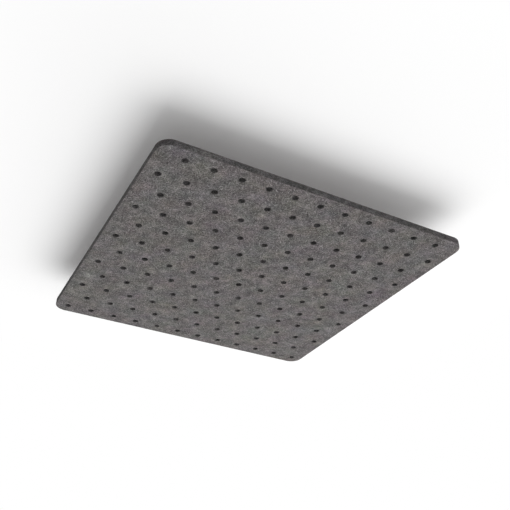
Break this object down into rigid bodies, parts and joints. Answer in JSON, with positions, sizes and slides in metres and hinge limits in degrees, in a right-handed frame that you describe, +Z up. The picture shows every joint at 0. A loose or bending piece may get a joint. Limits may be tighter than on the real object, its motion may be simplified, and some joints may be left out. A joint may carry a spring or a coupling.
{
  "type": "suspended ceiling tile",
  "caption": "Square felt ceiling tile with round corners and a staggered field of through perforations that absorbs sound; it hangs by its flat back with the perforated face looking down.",
  "frame": {"origin": "centre of the flat back face, which hangs towards the ceiling", "axes": "+Z up, out of the back face; the visible perforated face looks down along -Z; +X runs along the rows of holes and +Y across them, towards the row with holes at its very ends"},
  "size_m": [0.6, 0.6, 0.012],
  "materials": {
    "felt": "matt pressed felt, heathered charcoal grey with paler fibres"
  },
  "bodies": {
    "root": {"felt_tile": "felt"}
  },
  "joints": []
}
